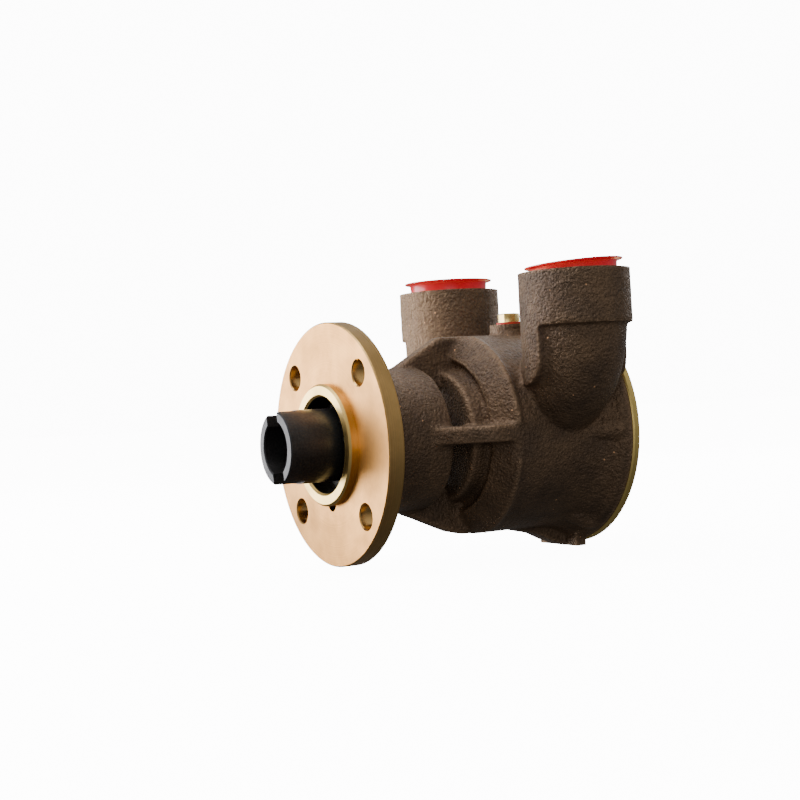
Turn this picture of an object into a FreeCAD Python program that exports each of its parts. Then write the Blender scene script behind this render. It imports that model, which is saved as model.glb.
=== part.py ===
import FreeCAD, Part
import math
import os
import re

import Sketcher

# Engine-mounted flexible-impeller pump in bronze, in millimetres.
# The shaft lies along Y: the drive end points to -Y and the end cover to +Y.
# The origin is the middle of the mounting flange's front face. The ports open upwards, +Z.

os.makedirs("parts", exist_ok=True)
doc = FreeCAD.newDocument("impeller_pump")

# ---------------------------------------------------------------- driving dimensions
SIZES = {
    # mounting flange and the spigot that centres it
    "flange_radius": 63.5,
    "flange_depth": 9.0,
    "flange_circle": 50.8,
    "flange_hole": 6.5,
    "pilot_radius": 31.75,
    "pilot_proud": 4.6,
    "pilot_bore": 25.1,
    "pilot_edge": 1.25,
    "notch_radius": 4.4,
    "notch_drop": 30.3,
    "dowel_radius": 1.4,
    "dowel_drop": 33.2,
    # bearing housing, open drain gap and seal housing
    "housing_radius": 38.0,
    "housing_end": 53.7,
    "gap_core": 14.0,
    "gap_bore": 27.0,
    "seal_boss_start": 66.8,
    "seal_boss_radius": 35.2,
    "moat_radius": 41.2,
    "moat_floor": 76.6,
    # impeller housing and the flange that carries the end cover
    "casing_radius": 54.0,
    "casing_start": 81.5,
    "casing_flare": 124.0,
    "lip_start": 142.0,
    "lip_radius": 59.6,
    "casing_end": 148.8,
    "end_radius": 63.75,
    "keel_width": 14.0,
    "lug_drop": 65.8,
    "lug_half": 17.5,
    "chamber_radius": 47.6,
    "chamber_start": 88.0,
    "web_thickness": 9.0,
    "side_rib_lift": 1.3,
    "web_start": 38.6,
    "web_peak": 68.0,
    "rib_fillet": 2.5,
    "rim_fillet": 1.2,
    # inlet and outlet ports, one each side
    "port_offset": 61.76,
    "port_station": 117.0,
    "port_top": 83.3,
    "collar_radius": 29.25,
    "collar_foot": 55.2,
    "neck_radius": 26.4,
    "elbow_radius": 24.3,
    "bend_height": 49.5,
    "bend_radius": 30.0,
    "thread_radius": 22.25,
    "thread_end": 54.0,
    "mouth_radius": 23.6,
    "mouth_depth": 9.0,
    "passage_radius": 19.5,
    "cheek_reach": 5.5,
    "cheek_foot": 25.0,
    "cheek_corner": 15.0,
    # bearing bore and what it holds
    "bearing_radius": 23.5,
    "bearing_seat": 6.0,
    "bearing_start": 9.0,
    "bearing_width": 14.0,
    "bearing_gap": 9.0,
    "ball_circle": 16.75,
    "ball_radius": 3.9,
    "race_radius": 4.1,
    "shaft_radius": 10.0,
    "collar_on_shaft": 12.5,
    "lip_seal_radius": 17.5,
    # mechanical seal
    "seal_bore": 19.0,
    "seal_start": 70.0,
    "seal_face": 76.0,
    "shaft_hole": 11.5,
    # drive coupling
    "coupling_radius": 19.0,
    "coupling_tip": 30.7,
    "coupling_bore": 13.6,
    "coupling_end": 5.0,
    "slot_width": 12.5,
    "slot_depth": 12.0,
    "slot_lean": 8.0,
    "pin_station": 1.0,
    "pin_radius": 2.5,
    # impeller, cam and cover
    "impeller_start": 89.5,
    "impeller_end": 148.3,
    "hub_radius": 17.0,
    "vane_root": 27.0,
    "vane_tip": 47.3,
    "vane_thickness": 4.0,
    "vane_bead": 2.9,
    "cam_depth": 6.0,
    "cam_radius": 144.5,
    "cam_boss": 11.0,
    "cam_boss_top": 59.7,
    "cover_radius": 64.5,
    "cover_end": 153.6,
    "gasket_depth": 0.3,
    "cover_circle": 57.15,
    "cover_screw": 3.0,
    "screw_depth": 10.0,
    "screw_boss": 6.8,
    "boss_start": 126.0,
    "boss_root": 48.6,
}
VANES = 9
BALLS = 8
COVER_SCREWS = 6

sheet = doc.addObject("Spreadsheet::Sheet", "Sizes")
for row, (alias, size) in enumerate(SIZES.items(), start=1):
    sheet.set(f"A{row}", alias.replace("_", " "))
    sheet.set(f"B{row}", str(size))
    sheet.setAlias(f"B{row}", alias)
doc.recompute()


def linked(text):
    """An expression in the sheet's aliases, as other objects have to write it."""
    return re.sub(r"[a-z]+(_[a-z]+)+", lambda word: "Sizes." + word.group(), str(text))


def bind(thing, **properties):
    """Tie properties to expressions; a double underscore stands for a dot."""
    for name, text in properties.items():
        thing.setExpression(name.replace("__", "."), linked(text))


def number(text):
    """What an expression is worth now."""
    return float(sheet.evalExpression(linked(text)))


# ---------------------------------------------------------------- ways of making a shape
def new_body(name):
    body = doc.addObject("PartDesign::Body", name)
    body.Label = name
    return body


def sketch_on(body, role, name, offset="0"):
    """A sketch on one of the body's own origin planes, moved along that plane's normal."""
    sketch = body.newObject("Sketcher::SketchObject", name)
    plane = [f for f in body.Origin.OriginFeatures if f.Role == role][0]
    sketch.AttachmentSupport = [(plane, "")]
    sketch.MapMode = "FlatFace"
    bind(sketch, AttachmentOffset__Base__z=offset)
    return sketch


def fix_point(sketch, edge, end, across, along):
    """Hold one point of a sketch at two expressions measured from the origin."""
    for kind, text, axis in (("DistanceX", across, -2), ("DistanceY", along, -1)):
        if abs(number(text)) < 1e-9:
            sketch.addConstraint(Sketcher.Constraint("PointOnObject", edge, end, axis))
        else:
            index = sketch.addConstraint(
                Sketcher.Constraint(kind, -1, 1, edge, end, number(text)))
            sketch.setExpression(f"Constraints[{index}]", linked(text))


def outline(sketch, points):
    """A closed outline of straight lines, each corner held at its expressions."""
    spots = [FreeCAD.Vector(number(u), number(v), 0) for u, v in points]
    first = sketch.GeometryCount
    for index, spot in enumerate(spots):
        sketch.addGeometry(Part.LineSegment(spot, spots[(index + 1) % len(spots)]), False)
    for index in range(len(spots)):
        following = first + (index + 1) % len(spots)
        sketch.addConstraint(Sketcher.Constraint("Coincident", first + index, 2, following, 1))
        fix_point(sketch, first + index, 1, *points[index])


def circle(sketch, across, along, radius):
    """A circle with its middle and its radius held at expressions."""
    middle = FreeCAD.Vector(number(across), number(along), 0)
    edge = sketch.addGeometry(
        Part.Circle(middle, FreeCAD.Vector(0, 0, 1), number(radius)), False)
    fix_point(sketch, edge, 3, across, along)
    index = sketch.addConstraint(Sketcher.Constraint("Radius", edge, number(radius)))
    sketch.setExpression(f"Constraints[{index}]", linked(radius))


def revolve(body, points, cut=False):
    """Turn an outline of (radius, distance along Y) about the shaft axis."""
    kind = "Groove" if cut else "Revolution"
    sketch = sketch_on(body, "XY_Plane", f"{body.Name}_{kind}_profile")
    outline(sketch, points)
    turned = body.newObject(f"PartDesign::{kind}", f"{body.Name}_{kind}")
    turned.Profile = sketch
    turned.ReferenceAxis = (sketch, ["V_Axis"])
    turned.Angle = 360
    doc.recompute()
    return turned


def turned_body(name, points):
    body = new_body(name)
    revolve(body, points)
    return body


def ring(name, inner, outer, start, end, edge="0"):
    """A turned ring of square section, with its outer edges broken where edge is given."""
    if edge == "0":
        corners = [(inner, start), (outer, start), (outer, end), (inner, end)]
    else:
        corners = [(inner, start), (f"{outer} - {edge}", start), (outer, f"{start} + {edge}"),
                   (outer, f"{end} - {edge}"), (f"{outer} - {edge}", end), (inner, end)]
    return turned_body(name, corners)


def pad(body, sketch, length, symmetric=False):
    solid = body.newObject("PartDesign::Pad", f"{sketch.Name}_pad")
    solid.Profile = sketch
    bind(solid, Length=length)
    if symmetric:
        solid.SideType = "Symmetric"
    doc.recompute()
    return solid


def pocket(body, sketch, length, reverse=False, symmetric=False):
    """A pocket, checked to have taken something away."""
    before = body.Shape.Volume
    hollow = body.newObject("PartDesign::Pocket", f"{sketch.Name}_pocket")
    hollow.Profile = sketch
    bind(hollow, Length=length)
    hollow.Reversed = reverse
    if symmetric:
        hollow.SideType = "Symmetric"
    doc.recompute()
    if body.Shape.Volume > before - 0.01:
        raise ValueError(f"{sketch.Name} cuts nothing")
    return hollow


def round_edges(body, radius, chosen):
    """Round the edges whose middle point the test picks."""
    edges = [f"Edge{index}" for index, edge in enumerate(body.Shape.Edges, start=1)
             if chosen(edge.valueAt((edge.FirstParameter + edge.LastParameter) / 2))]
    if not edges:
        raise ValueError(f"{body.Name} has no such edge")
    tip = body.Tip
    rounding = body.newObject("PartDesign::Fillet", f"{tip.Name}_round")
    rounding.Base = (tip, edges)
    bind(rounding, Radius=radius)
    doc.recompute()
    return rounding


def repeat(body, feature, count):
    """Repeat a feature evenly about the shaft axis."""
    pattern = body.newObject("PartDesign::PolarPattern", f"{feature.Name}_pattern")
    pattern.Originals = [feature]
    axis = [f for f in body.Origin.OriginFeatures if f.Role == "Y_Axis"][0]
    pattern.Axis = (axis, [""])
    pattern.Angle = 360
    pattern.Occurrences = count
    body.Tip = pattern
    doc.recompute()
    return pattern


TURNS = {
    "X": FreeCAD.Rotation(FreeCAD.Vector(0, 1, 0), 90),
    "Y": FreeCAD.Rotation(FreeCAD.Vector(1, 0, 0), -90),
    "Z": FreeCAD.Rotation(),
}


def cylinder(name, axis, radius, length, spot):
    """A cylinder that starts at the spot and runs along one axis."""
    rod = doc.addObject("Part::Cylinder", name)
    rod.Placement = FreeCAD.Placement(FreeCAD.Vector(), TURNS[axis])
    bind(rod, Radius=radius, Height=length, Placement__Base__x=spot[0],
         Placement__Base__y=spot[1], Placement__Base__z=spot[2])
    return rod


def fused(name, solids):
    whole = doc.addObject("Part::MultiFuse", name)
    whole.Shapes = solids
    whole.Refine = True
    return whole


def cut(name, solid, tool):
    rest = doc.addObject("Part::Cut", name)
    rest.Base = solid
    rest.Tool = tool
    rest.Label = name
    return rest


def rounded(name, solid, radius, chosen):
    """Round the edges of a solid that the test picks by middle point, radius and curve."""
    doc.recompute()
    edges = []
    for index, edge in enumerate(solid.Shape.Edges, start=1):
        spot = edge.valueAt((edge.FirstParameter + edge.LastParameter) / 2)
        kind = edge.Curve.TypeId if edge.Length > 5 else ""
        if chosen(spot, math.hypot(spot.x, spot.z), kind):
            edges.append((index, number(radius), number(radius)))
    rounding = doc.addObject("Part::Fillet", name)
    rounding.Base = solid
    rounding.Edges = edges
    doc.recompute()
    if not edges or rounding.Shape.isNull() or not rounding.Shape.isValid():
        raise ValueError(f"{name} rounds nothing or breaks the solid")
    return rounding


# ---------------------------------------------------------------- pump body
def casting_core():
    """Everything on the casting that is turned about the shaft axis."""
    return turned_body("casting_core", [
        ("0", "-pilot_proud"),
        ("pilot_radius - pilot_edge", "-pilot_proud"),
        ("pilot_radius", "-pilot_proud + pilot_edge"),
        ("pilot_radius", "0"),
        ("pilot_radius - 0.8", "0"),
        ("pilot_radius - 0.8", "0.9"),
        ("pilot_radius", "0.9"),
        ("pilot_radius", "flange_depth"),
        ("housing_radius", "flange_depth"),
        ("housing_radius", "housing_end - 2"),
        ("housing_radius - 2", "housing_end"),
        ("gap_core", "housing_end"),
        ("gap_core", "seal_boss_start"),
        ("seal_boss_radius - 1.2", "seal_boss_start"),
        ("seal_boss_radius", "seal_boss_start + 1.2"),
        ("seal_boss_radius + 0.6", "moat_floor"),
        ("moat_radius - 1.5", "moat_floor"),
        ("moat_radius - 0.4", "moat_floor - 2.6"),
        ("moat_radius + 0.8", "moat_floor - 3.1"),
        ("casing_radius - 1.6", "casing_start - 1.2"),
        ("casing_radius", "casing_start + 1.5"),
        ("casing_radius", "casing_flare"),
        ("casing_radius + 1.4", "casing_flare + 9"),
        ("lip_radius", "lip_start"),
        ("lip_radius + 2.4", "lip_start + 2"),
        ("end_radius", "casing_end"),
        ("0", "casing_end"),
    ])


def rib(name, role, side, foot, peak, crest, end, offset="0"):
    """One of the four long ribs that carry the seal housing on the bearing housing.

    foot, peak and crest are (distance along Y, height above the shaft axis)."""
    body = new_body(name)
    sketch = sketch_on(body, role, f"{name}_outline", offset)
    corners = [("gap_core - 4", foot[0]), (foot[1], foot[0]), (peak[1], peak[0]),
               (crest[1], crest[0]), (crest[1], end), ("gap_core - 4", end)]
    if role == "YZ_Plane":
        outline(sketch, [(along, f"{side} * ({high})") for high, along in corners])
    else:
        outline(sketch, [(f"{side} * ({high})", along) for high, along in corners])
    pad(body, sketch, "web_thickness", symmetric=True)
    return body


def ribs():
    slope_foot = ("web_start", "housing_radius - 1")
    slope_peak = ("web_peak", "casing_radius - 0.2")
    level = ("web_peak + 3", "casing_radius")
    made = [rib("top_rib", "YZ_Plane", 1, slope_foot, slope_peak, level, "casing_start + 20")]
    made.append(rib("bottom_rib", "YZ_Plane", -1, ("web_start - 4", "housing_radius - 1"),
                    ("web_peak", "casing_radius - 2.4"), ("web_peak + 8", "casing_radius - 0.6"),
                    "casing_start + 20"))
    for side in (1, -1):
        made.append(rib(f"side_rib_{side + 1}", "XY_Plane", side, slope_foot, slope_peak, level,
                        "casing_start + 20", offset="side_rib_lift"))
    return made


def port_solids(side):
    """The collar, neck, elbow and inboard cheek of one port, outside shape only."""
    middle = f"{side} * port_offset"
    tag = "near" if side > 0 else "far"
    collar = cylinder(f"{tag}_collar", "Z", "collar_radius", "port_top - collar_foot",
                      (middle, "port_station", "collar_foot"))
    rings = []
    stations = [(0, "collar_foot + 1 - bend_height", "neck_radius"),
                (0, "0.4 * (collar_foot - bend_height)", "neck_radius - 0.3"),
                (20, "0", "elbow_radius + 0.5"), (45, "0", "elbow_radius"),
                (70, "0", "elbow_radius"), (90, "0", "elbow_radius")]
    for index, (turn, lift, radius) in enumerate(stations):
        loop = doc.addObject("Part::Circle", f"{tag}_elbow_ring_{index}")
        loop.Placement = FreeCAD.Placement(
            FreeCAD.Vector(), FreeCAD.Rotation(FreeCAD.Vector(0, 1, 0), side * turn))
        bind(loop, Radius=radius,
             Placement__Base__x=f"{side} * (port_offset - bend_radius * (1 - cos({turn} deg)))",
             Placement__Base__y="port_station",
             Placement__Base__z=f"bend_height - bend_radius * sin({turn} deg) + {lift}")
        rings.append(loop)
    elbow = doc.addObject("Part::Loft", f"{tag}_elbow")
    elbow.Sections = rings
    elbow.Solid = True
    stub = cylinder(f"{tag}_stub", "X", "elbow_radius", "port_offset - bend_radius",
                    ("0" if side > 0 else "-port_offset + bend_radius", "port_station",
                     "bend_height - bend_radius"))
    block = new_body(f"{tag}_cheek_block")
    sketch = sketch_on(block, "XZ_Plane", f"{tag}_cheek_outline", "-port_station")
    inner, outer = "port_offset - collar_radius - 3", "port_offset + cheek_reach"
    outline(sketch, [(f"{side} * ({inner})", "collar_foot + 1"),
                     (f"{side} * ({inner})", "cheek_foot"),
                     (f"{side} * ({outer})", "cheek_foot"),
                     (f"{side} * ({outer})", "collar_foot + 1")])
    pad(block, sketch, "2 * collar_radius + 2", symmetric=True)
    corner = (side * number(outer), number("cheek_foot"))
    round_edges(block, "cheek_corner",
                lambda p: abs(p.x - corner[0]) < 0.1 and abs(p.z - corner[1]) < 0.1)
    drum = cylinder(f"{tag}_cheek_drum", "Z", "collar_radius", "collar_foot + 1 - cheek_foot",
                    (middle, "port_station", "cheek_foot"))
    cheek = doc.addObject("Part::Common", f"{tag}_cheek")
    cheek.Base = block
    cheek.Tool = drum
    return [collar, elbow, stub, cheek]


def port_hollow(side):
    """What is bored out of one port: mouth, threaded wall and the curved passage."""
    middle = f"{side} * port_offset"
    tag = "near" if side > 0 else "far"
    mouth = cylinder(f"{tag}_mouth", "Z", "mouth_radius", "mouth_depth + 1",
                     (middle, "port_station", "port_top - mouth_depth"))
    thread = cylinder(f"{tag}_thread", "Z", "thread_radius", "port_top - thread_end",
                      (middle, "port_station", "thread_end"))
    drop = cylinder(f"{tag}_drop", "Z", "passage_radius", "thread_end - bend_height + 1",
                    (middle, "port_station", "bend_height"))
    bend = doc.addObject("Part::Torus", f"{tag}_bend")
    bend.Angle3 = 90
    # the torus is drawn flat, so it is stood on edge with its quarter turn under the port
    stand = FreeCAD.Rotation(FreeCAD.Vector(1, 0, 0), -90)
    if side < 0:
        stand = FreeCAD.Rotation(FreeCAD.Vector(0, 0, 1), 180).multiply(
            FreeCAD.Rotation(FreeCAD.Vector(1, 0, 0), -90))
    bend.Placement = FreeCAD.Placement(FreeCAD.Vector(), stand)
    bind(bend, Radius1="bend_radius", Radius2="passage_radius",
         Placement__Base__x=f"{side} * (port_offset - bend_radius)",
         Placement__Base__y="port_station", Placement__Base__z="bend_height")
    run = cylinder(f"{tag}_run", "X", "passage_radius", "20",
                   ("port_offset - bend_radius - 20" if side > 0 else
                    "-port_offset + bend_radius", "port_station", "bend_height - bend_radius"))
    return [mouth, thread, drop, bend, run]


def body_bore():
    """The bores along the shaft: pilot, bearings, lip seal, drain gap, seal and chamber."""
    return turned_body("body_bore", [
        ("0", "-pilot_proud - 1"),
        ("pilot_bore + 2", "-pilot_proud - 1"),
        ("pilot_bore", "-pilot_proud + 1"),
        ("pilot_bore", "bearing_seat"),
        ("bearing_radius", "bearing_seat"),
        ("bearing_radius", "bearing_seat + 0.9"),
        ("bearing_radius + 1.2", "bearing_seat + 0.9"),
        ("bearing_radius + 1.2", "bearing_start - 0.2"),
        ("bearing_radius", "bearing_start - 0.2"),
        ("bearing_radius", "bearing_start + 2 * bearing_width + bearing_gap"),
        ("lip_seal_radius", "bearing_start + 2 * bearing_width + bearing_gap"),
        ("lip_seal_radius", "housing_end"),
        ("gap_bore", "housing_end"),
        ("gap_bore", "seal_boss_start"),
        ("shaft_hole", "seal_boss_start"),
        ("shaft_hole", "seal_start"),
        ("seal_bore", "seal_start"),
        ("seal_bore", "chamber_start"),
        ("chamber_radius", "chamber_start"),
        ("chamber_radius", "casing_end + 1"),
        ("0", "casing_end + 1"),
    ])


def screw_bosses():
    """Bosses that grow out of the casing towards the cover flange and take the cover screws."""
    made = []
    for index in range(COVER_SCREWS):
        turn = 360 * index / COVER_SCREWS
        sections = []
        for station, reach, radius in (("boss_start", "boss_root", "screw_boss - 1"),
                                       ("lip_start", "cover_circle - 0.8", "screw_boss"),
                                       ("casing_end", "cover_circle - 0.6", "screw_boss")):
            loop = doc.addObject("Part::Circle", f"boss_{index}_section_{len(sections)}")
            loop.Placement = FreeCAD.Placement(FreeCAD.Vector(), TURNS["Y"])
            bind(loop, Radius=radius, Placement__Base__x=f"({reach}) * cos({turn} deg)",
                 Placement__Base__y=station, Placement__Base__z=f"({reach}) * sin({turn} deg)")
            sections.append(loop)
        boss = doc.addObject("Part::Loft", f"screw_boss_{index}")
        boss.Sections = sections
        boss.Solid = True
        boss.Ruled = True
        made.append(boss)
    return made


def bottom_pad():
    """The keel cast under the casing and the wider lug under the cover flange."""
    keel = new_body("keel")
    sketch = sketch_on(keel, "YZ_Plane", "keel_outline")
    outline(sketch, [("casing_end", "-end_radius + 10"), ("casing_end", "-lug_drop"),
                     ("lip_start", "-lug_drop + 0.2"), ("casing_flare + 10", "-lug_drop + 3.3"),
                     ("casing_flare", "-casing_radius - 3.8"),
                     ("casing_flare - 20", "-casing_radius + 1"),
                     ("casing_flare - 20", "-casing_radius + 4")])
    pad(keel, sketch, "keel_width", symmetric=True)
    lug = new_body("lug")
    face = sketch_on(lug, "XZ_Plane", "lug_outline", "-casing_end")
    outline(face, [("-lug_half", "-end_radius + 8"), ("lug_half", "-end_radius + 8"),
                   ("lug_half", "-lug_drop + 1.4"), ("lug_half - 2.5", "-lug_drop"),
                   ("-lug_half + 2.5", "-lug_drop"), ("-lug_half", "-lug_drop + 1.4")])
    pad(lug, face, "casing_end - lip_start - 1")
    return [keel, lug]


def rounded_casting(outside):
    """Cast fillets where the ribs meet the housings, and soft rims on the collars."""
    drum = number("housing_radius")
    wall = number("casing_radius")
    half = number("web_thickness / 2")
    lift = number("side_rib_lift")

    def beside_rib(spot):
        return min(abs(abs(spot.x) - half), abs(abs(spot.z - lift) - half)) < 0.3

    outside = rounded("rib_roots", outside, "rib_fillet", lambda spot, radius, kind:
                      abs(radius - drum) < 0.2 and 38 < spot.y < 53 and "Line" in kind)
    outside = rounded("rib_ends", outside, "rib_fillet", lambda spot, radius, kind:
                      75 < spot.y < 78 and beside_rib(spot) and "Hyperbola" in kind)
    outside = rounded("rib_crests", outside, "rim_fillet", lambda spot, radius, kind:
                      43 < radius < 54.3 and 50 < spot.y < 74 and beside_rib(spot)
                      and "Line" in kind)
    outside = rounded("casing_nose", outside, "rim_fillet", lambda spot, radius, kind:
                      abs(radius - wall) < 0.2 and 82 < spot.y < 84 and kind)
    return rounded("collar_rims", outside, "rim_fillet - 0.4", lambda spot, radius, kind:
                   kind and abs(spot.z - number("port_top")) < 0.05)


def pump_body():
    solids = [casting_core()] + ribs() + screw_bosses() + bottom_pad()
    solids.append(cylinder("cam_screw_boss", "Z", "cam_boss", "cam_boss_top - 40",
                           ("0", "port_station", "40")))
    hollows = [body_bore()]
    for side in (1, -1):
        solids += port_solids(side)
        hollows += port_hollow(side)
    hollows.append(cylinder("cam_screw_hole", "Z", "3.2", "40", ("0", "port_station", "30")))
    hollows.append(cylinder("dowel_hole", "Y", "dowel_radius", "5",
                            ("0", "flange_depth", "-dowel_drop")))
    for index in range(COVER_SCREWS):
        turn = 360 * index / COVER_SCREWS
        hollows.append(cylinder(f"screw_hole_{index}", "Y", "cover_screw", "screw_depth + 2",
                                (f"cover_circle * cos({turn} deg)", "casing_end - screw_depth - 1",
                                 f"cover_circle * sin({turn} deg)")))
    outside = rounded_casting(fused("casting_outside", solids))
    return cut("pump_body", outside, fused("casting_inside", hollows))


# ---------------------------------------------------------------- flange end
def mounting_flange():
    body = ring("mounting_flange", "pilot_radius", "flange_radius", "0", "flange_depth", "0.6")
    holes = sketch_on(body, "XZ_Plane", "flange_hole_outline")
    circle(holes, "flange_circle * cos(45 deg)", "flange_circle * sin(45 deg)", "flange_hole")
    repeat(body, pocket(body, holes, "4 * flange_depth", symmetric=True), 4)
    notch = sketch_on(body, "XZ_Plane", "notch_outline")
    circle(notch, "0", "-notch_drop", "notch_radius")
    body.Tip = pocket(body, notch, "4 * flange_depth", symmetric=True)
    return body


def flange_dowel():
    """The pin that stops the flange from turning on the spigot."""
    pin = cylinder("flange_dowel", "Y", "dowel_radius", "10",
                   ("0", "flange_depth - 5", "-dowel_drop"))
    pin.Label = "flange_dowel"
    return pin


def drive_coupling():
    """The slotted steel sleeve that a tongued drive shaft turns."""
    body = turned_body("drive_coupling", [
        ("shaft_radius", "-5.5"), ("coupling_bore", "-5.5"),
        ("coupling_bore", "-coupling_tip + 0.6"), ("coupling_bore + 0.6", "-coupling_tip"),
        ("coupling_radius - 0.6", "-coupling_tip"), ("coupling_radius", "-coupling_tip + 0.6"),
        ("coupling_radius", "coupling_end"), ("shaft_radius", "coupling_end")])
    slot = sketch_on(body, "XY_Plane", "slot_outline")
    outline(slot, [("-slot_width / 2", "-coupling_tip - 1"), ("slot_width / 2", "-coupling_tip - 1"),
                   ("slot_width / 2", "-coupling_tip + slot_depth"),
                   ("-slot_width / 2", "-coupling_tip + slot_depth")])
    pocket(body, slot, "4 * coupling_radius", symmetric=True)
    hole = sketch_on(body, "YZ_Plane", "pin_hole_outline")
    circle(hole, "pin_station", "0", "pin_radius")
    pocket(body, hole, "4 * coupling_radius", symmetric=True)
    lean(body)
    return body


def lean(thing):
    """Turn a piece of the rotor to where the shaft stands at rest."""
    turn = FreeCAD.Rotation(FreeCAD.Vector(0, 1, 0), -number("slot_lean"))
    thing.Placement = FreeCAD.Placement(FreeCAD.Vector(), turn).multiply(thing.Placement)


def coupling_pin():
    """The cross pin that keys the sleeve to the shaft, standing across it at rest."""
    pin = new_body("coupling_pin")
    section = sketch_on(pin, "YZ_Plane", "coupling_pin_section")
    circle(section, "pin_station", "0", "pin_radius")
    pad(pin, section, "2 * coupling_radius - 1", symmetric=True)
    lean(pin)
    return pin


# ---------------------------------------------------------------- shaft and bearings
def pump_shaft():
    body = turned_body("pump_shaft", [
        ("0", "-5.5"), ("shaft_radius - 1", "-5.5"), ("shaft_radius", "-4.5"),
        ("shaft_radius", "bearing_start - 1.8"), ("shaft_radius - 0.7", "bearing_start - 1.8"),
        ("shaft_radius - 0.7", "bearing_start - 0.2"), ("shaft_radius", "bearing_start - 0.2"),
        ("shaft_radius", "bearing_start + 2 * bearing_width + bearing_gap"),
        ("collar_on_shaft", "bearing_start + 2 * bearing_width + bearing_gap"),
        ("collar_on_shaft", "housing_end + 2"), ("shaft_radius", "housing_end + 2"),
        ("shaft_radius", "impeller_end - 3"), ("shaft_radius - 1", "impeller_end - 2"),
        ("0", "impeller_end - 2")])
    hole = sketch_on(body, "YZ_Plane", "shaft_pin_hole")
    circle(hole, "pin_station", "0", "pin_radius")
    pocket(body, hole, "4 * shaft_radius", symmetric=True)
    keyway = sketch_on(body, "XY_Plane", "keyway_outline", "shaft_radius - 2.5")
    outline(keyway, [("-2.5", "impeller_start + 8"), ("2.5", "impeller_start + 8"),
                     ("2.5", "impeller_end - 8"), ("-2.5", "impeller_end - 8")])
    pocket(body, keyway, "5", reverse=True)
    lean(body)
    return body


def grooved_ring(name, inner, outer, start):
    """A bearing ring with its ball track, whose middle is on the ball circle."""
    body = ring(name, inner, outer, start, f"{start} + bearing_width", "0.6")
    sketch = sketch_on(body, "XY_Plane", f"{name}_track")
    circle(sketch, "ball_circle", f"{start} + bearing_width / 2", "race_radius")
    before = body.Shape.Volume
    track = body.newObject("PartDesign::Groove", f"{name}_groove")
    track.Profile = sketch
    track.ReferenceAxis = (sketch, ["V_Axis"])
    track.Angle = 360
    doc.recompute()
    if body.Shape.Volume > before - 1:
        raise ValueError(f"{name} has no ball track")
    return body


def ball_set(name, start):
    """The balls of one bearing, as separate solids in one node."""
    balls = []
    for index in range(BALLS):
        turn = 360 / BALLS * index
        ball = doc.addObject("Part::Sphere", f"{name}_{index}")
        bind(ball, Radius="ball_radius",
             Placement__Base__x=f"ball_circle * cos({turn} deg)",
             Placement__Base__y=f"{start} + bearing_width / 2",
             Placement__Base__z=f"ball_circle * sin({turn} deg)")
        balls.append(ball)
    group = doc.addObject("Part::Compound", name)
    group.Links = balls
    group.Label = name
    return group


def ball_cage(name, start):
    body = ring(name, "ball_circle - 1.2", "ball_circle + 1.2", f"{start} + 2.2",
                f"{start} + bearing_width - 2.2")
    sketch = sketch_on(body, "YZ_Plane", f"{name}_window")
    circle(sketch, f"{start} + bearing_width / 2", "0", "ball_radius + 0.1")
    repeat(body, pocket(body, sketch, "30", reverse=True), BALLS)
    return body


def bearing(where, start):
    """One ball bearing: both rings, the balls and their cage."""
    return [
        grooved_ring(f"{where}_bearing_outer_ring", "ball_circle + 2.6", "bearing_radius", start),
        grooved_ring(f"{where}_bearing_inner_ring", "shaft_radius", "ball_circle - 2.6", start),
        ball_set(f"{where}_bearing_balls", start),
        ball_cage(f"{where}_bearing_cage", start),
    ]


def open_ring(name, inner, outer, start, end, gap_side):
    """A retaining ring with a gap, so that it can be sprung into its groove."""
    body = ring(name, inner, outer, start, end)
    sketch = sketch_on(body, "XZ_Plane", f"{name}_gap")
    outline(sketch, [("-2.5", f"{gap_side} * 5"), ("2.5", f"{gap_side} * 5"),
                     ("2.5", f"{gap_side} * 40"), ("-2.5", f"{gap_side} * 40")])
    pocket(body, sketch, "200", symmetric=True)
    return body


def bearing_parts():
    rear = "(bearing_start + bearing_width + bearing_gap)"
    seal = "(bearing_start + 2 * bearing_width + bearing_gap)"
    return bearing("front", "bearing_start") + bearing("rear", rear) + [
        ring("bearing_spacer", "shaft_radius", "shaft_radius + 2.6",
             "bearing_start + bearing_width", rear),
        open_ring("bearing_retaining_ring", "bearing_radius - 2.6", "bearing_radius + 1.1",
                  "bearing_start - 1.9", "bearing_start - 0.3", -1),
        open_ring("shaft_retaining_ring", "shaft_radius - 0.6", "shaft_radius + 2.4",
                  "bearing_start - 1.7", "bearing_start - 0.3", 1),
        turned_body("bearing_lip_seal", [
            ("lip_seal_radius", f"{seal}"), ("lip_seal_radius", "housing_end - 0.4"),
            ("lip_seal_radius - 2", "housing_end - 0.4"), ("lip_seal_radius - 2", f"{seal} + 2"),
            ("collar_on_shaft + 1.5", f"{seal} + 2"), ("collar_on_shaft + 1.2", f"{seal} + 5"),
            ("collar_on_shaft + 0.06", f"{seal} + 4.6"), ("collar_on_shaft + 0.8", f"{seal}")]),
        turned_body("water_slinger", [
            ("shaft_radius", "housing_end + 4"), ("shaft_radius + 3", "housing_end + 4"),
            ("shaft_radius + 7", "housing_end + 6.2"), ("shaft_radius + 7", "housing_end + 7.4"),
            ("shaft_radius + 3.5", "housing_end + 6.6"), ("shaft_radius + 3", "housing_end + 9"),
            ("shaft_radius", "housing_end + 9")]),
    ]


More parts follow.
